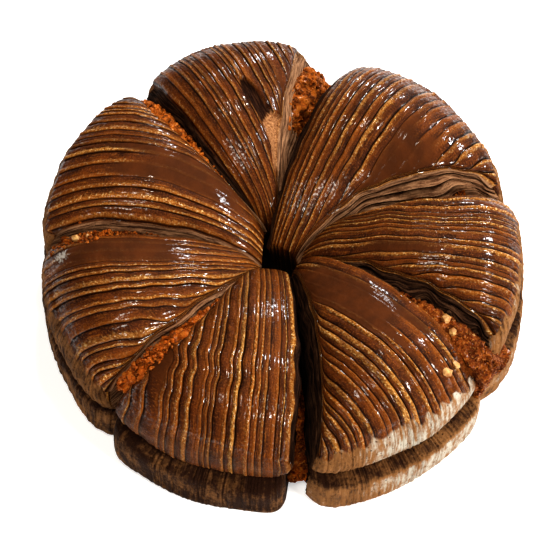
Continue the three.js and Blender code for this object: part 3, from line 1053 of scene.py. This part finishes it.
def make_dough_finish():
    """Glazed striped skin, cut layers on the sides and a baked outer wall in one material."""
    recipe = Recipe("brioche_dough")
    across, distance, _ = recipe.split(recipe.node("ShaderNodeUVMap", {"uv_map": "stripes"}))
    place = recipe.object_place()
    side = recipe.attribute("side")
    bare = recipe.attribute("bare")
    plain = recipe.attribute("plain")
    torn_pale = recipe.attribute("torn_pale")
    torn_dark = recipe.attribute("torn_dark")
    skin, gold, grain, hair = skin_colour(recipe, across, distance, recipe.attribute("line"), plain)
    cut, fibre = side_colour(recipe, across, distance, recipe.attribute("tan"))
    outer, pores = wall_colour(recipe, across, distance, recipe.attribute("pale"), place)
    low = (bare + (grain - 0.5) * 2.2 * bare * (1.0 - bare)).smooth(0.1, 0.8)
    colour = recipe.blend(low, recipe.blend(side.smooth(0.2, 0.9), skin, cut), outer)
    scuff = recipe.noise(recipe.point(across * 2.0, distance * 6.0), 1.6, 3.0, 0.6)
    dust = (recipe.attribute("dust") * 0.8 - 0.75 + scuff).smooth(0.36, 0.56)
    colour = recipe.blend(dust * 0.85, colour, srgb(196, 188, 178))
    pale_dough = recipe.blend(grain.smooth(0.4, 0.6), srgb(118, 72, 42), srgb(184, 131, 87))
    # Painted shadow: dark colour where the lifted flap of the torn strip shades the dough.
    torn_shadow_colour = recipe.blend(hair.smooth(0.4, 0.65), srgb(24, 12, 7), srgb(62, 35, 20))
    colour = recipe.blend(torn_pale, colour, pale_dough)
    colour = recipe.blend(torn_dark, colour, torn_shadow_colour)
    # Painted shade: the gaps between the lobes and the pit go near-black with depth.
    colour = recipe.blend(recipe.attribute("deep") * 0.9, colour, srgb(10, 5, 3))
    matt = (side.smooth(0.1, 0.8) + low + torn_pale + torn_dark + dust).clamped()
    glazed = 1.0 - matt
    roughness = 0.46 + plain * 0.25 - gold * 0.1 + matt * 0.3 + (grain - 0.5) * 0.2
    glitter = recipe.noise(place, 1100.0, 2.0, 0.6).smooth(0.48, 0.62)
    upper = 1.0 - distance.smooth(8.7, 9.4) * 0.75
    coat = glazed * (1.0 - plain * 0.75) * upper * (0.05 + glitter * 0.8)
    fine = recipe.noise(place, 1500.0, 3.0, 0.6)
    wet = recipe.noise(place, 620.0, 2.0, 0.6)
    height = fine * (0.2 + gold * 1.0 + matt * 0.9) + grain * gold * 1.2
    height = height + glazed * (recipe.noise(place, 260.0, 2.0) * 0.6 + wet * (0.7 - plain * 0.5))
    height = height + glazed * (1.0 - plain) * hair * 0.6 + matt * fibre * 0.9
    height = height + low * pores.smooth(0.0, 0.35) * 0.8
    return recipe.finish(
        Base_Color=colour, Roughness=roughness, Coat_Weight=coat, Coat_Roughness=0.08,
        Specular_IOR_Level=0.04, Normal=recipe.bump(height, 0.0006, 0.9),
    )


def make_crumb_finish():
    """Orange-brown crumb: painted shade at the right front, painted light at the left front and the back.
    """
    recipe = Recipe("brioche_crumb")
    place = recipe.object_place()
    patch = recipe.noise(place, 160.0, 3.0)
    lump = recipe.noise(place, 420.0, 2.0, 0.6)
    grain = recipe.noise(place, 1300.0, 3.0, 0.7)
    right, depth, _ = recipe.split(place)
    # Painted light at the back and the left front, and painted shade at the right front, set by place in
    # the brioche.
    back = depth.smooth(-0.02, 0.05)
    baked = right.smooth(0.02, 0.05) * (1.0 - back)
    painted_light_front_left = right.smooth(-0.01, -0.04) * depth.smooth(-0.012, -0.03)
    colour = recipe.blend(patch.smooth(0.35, 0.65), srgb(100, 44, 9), srgb(160, 77, 16))
    colour = recipe.blend(baked * 0.65, colour, srgb(78, 32, 8))
    colour = recipe.blend(painted_light_front_left * 0.5, colour, srgb(186, 90, 24))
    colour = recipe.blend(back * patch.smooth(0.3, 0.6) * 0.45, colour, srgb(186, 98, 28))
    # Partly the crumb's own mottling, partly painted highlight on the raised lumps and grains and painted
    # shade in their hollows.
    colour = recipe.blend(lump.smooth(0.52, 0.66) * (0.75 - baked * 0.4), colour, srgb(196, 112, 38))
    colour = recipe.blend(lump.smooth(0.47, 0.36) * 0.8, colour, srgb(54, 20, 6))
    colour = recipe.blend(grain.smooth(0.52, 0.75) * 0.5, colour, srgb(220, 150, 70))
    colour = recipe.blend(grain.smooth(0.48, 0.28) * 0.6, colour, srgb(36, 14, 5))
    moist = lump.smooth(0.5, 0.65) * 0.3
    return recipe.finish(
        Base_Color=colour, Roughness=0.75, Coat_Weight=moist, Coat_Roughness=0.15,
        Specular_IOR_Level=0.06, Normal=recipe.bump(lump * 0.6 + grain, 0.0008, 0.8),
    )


def make_nut_finish():
    """Toasted pale nut."""
    recipe = Recipe("nut_pale")
    grain = recipe.noise(recipe.object_place(), 420.0, 3.0)
    colour = recipe.blend(grain.smooth(0.3, 0.7), srgb(150, 92, 38), srgb(212, 166, 100))
    return recipe.finish(Base_Color=colour, Roughness=0.5, Normal=recipe.bump(grain, 0.0005, 0.5))


def make_pit_finish():
    """Near-black dough at the foot of the pit: painted shade, as little light reaches it."""
    recipe = Recipe("brioche_pit")
    grain = recipe.noise(recipe.object_place(), 300.0, 3.0)
    colour = recipe.blend(grain, srgb(5, 2, 1), srgb(12, 6, 3))
    return recipe.finish(
        Base_Color=colour, Roughness=0.9, Specular_IOR_Level=0.05, Normal=recipe.bump(grain, 0.001, 0.6),
    )


def make_floor():
    """A plain pale floor under the brioche."""
    bpy.ops.object.select_all(action="DESELECT")
    bpy.ops.mesh.primitive_plane_add(size=6.0)
    floor = bpy.context.object
    floor.name = "floor"
    floor.data.materials.append(Recipe("floor_white").finish(
        Base_Color=(0.94, 0.94, 0.94), Roughness=0.8, Emission_Color=(1.0, 1.0, 1.0), Emission_Strength=0.4,
    ))


def aim_at(thing, target):
    """Points a light or the camera at a place."""
    way = Vector(target) - thing.location
    thing.rotation_euler = way.to_track_quat("-Z", "Y").to_euler()


def make_light(name, place, size, power, colour):
    """A square soft light that points at the brioche."""
    light = bpy.data.lights.new(name, "AREA")
    light.size = size
    light.energy = power
    light.color = colour
    lamp = bpy.data.objects.new(name, light)
    lamp.location = place
    aim_at(lamp, LIGHT_AIM)
    bpy.context.collection.objects.link(lamp)


def make_camera():
    """The camera of the photograph's view."""
    camera = bpy.data.cameras.new("camera")
    camera.lens = CAMERA_LENS
    camera.clip_start = 0.01
    eye = bpy.data.objects.new("camera", camera)
    lift = math.radians(CAMERA_LIFT)
    height = CAMERA_AIM[2] + CAMERA_DISTANCE * math.sin(lift)
    eye.location = (0.0, -CAMERA_DISTANCE * math.cos(lift), height)
    aim_at(eye, CAMERA_AIM)
    bpy.context.collection.objects.link(eye)
    bpy.context.scene.camera = eye


def make_studio():
    """Soft studio light and a pale surround."""
    world = bpy.data.worlds.new("studio")
    world.use_nodes = True
    background = world.node_tree.nodes["Background"]
    background.inputs["Color"].default_value = (0.95, 0.97, 1.0, 1.0)
    background.inputs["Strength"].default_value = 0.1
    bpy.context.scene.world = world
    for light in LIGHTS:
        make_light(*light)
    bpy.context.scene.view_settings.view_transform = "Standard"
    bpy.context.scene.view_settings.look = "Medium High Contrast"


make_studio()
make_camera()
make_floor()
make_lobes(make_dough_finish())
make_hub(make_pit_finish())
crumb_finish = make_crumb_finish()
make_filling(crumb_finish)
make_grains(crumb_finish)
make_nuts(make_nut_finish())
